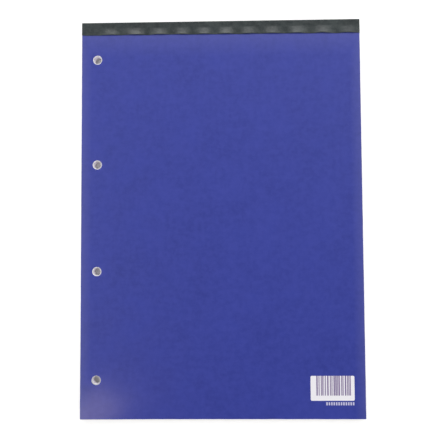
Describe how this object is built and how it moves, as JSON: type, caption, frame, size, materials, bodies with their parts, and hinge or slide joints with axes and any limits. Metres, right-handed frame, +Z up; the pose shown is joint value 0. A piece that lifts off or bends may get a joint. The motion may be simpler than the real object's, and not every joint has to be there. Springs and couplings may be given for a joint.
{
  "type": "legal pad",
  "caption": "Head-bound writing pad with a blue card cover, drilled filing holes and a dark tape wrapped over the head.",
  "frame": {"origin": "middle of the underside, on the surface that the pad lies on", "axes": "+Z up out of the front cover, +Y to the bound head, +X to the right as the front cover is read, so the filing holes are on the -X side"},
  "size_m": [0.21, 0.2972, 0.0092],
  "materials": {
    "cover_card": "satin",
    "writing_paper": "matte",
    "grey_board": "matte",
    "binding_tape": "satin"
  },
  "bodies": {
    "pad": {"paper_block": "writing_paper", "back_board": "grey_board", "binding_tape": "binding_tape", "front_cover_bound_edge": "cover_card"},
    "cover": {"front_cover": "cover_card"}
  },
  "joints": [
    {"name": "cover_hinge", "type": "hinge", "parent": "pad", "child": "cover", "pos_m": [0, 0.13762, 0.0087], "axis": [-1, 0, 0], "range_deg": [0, 175]}
  ]
}
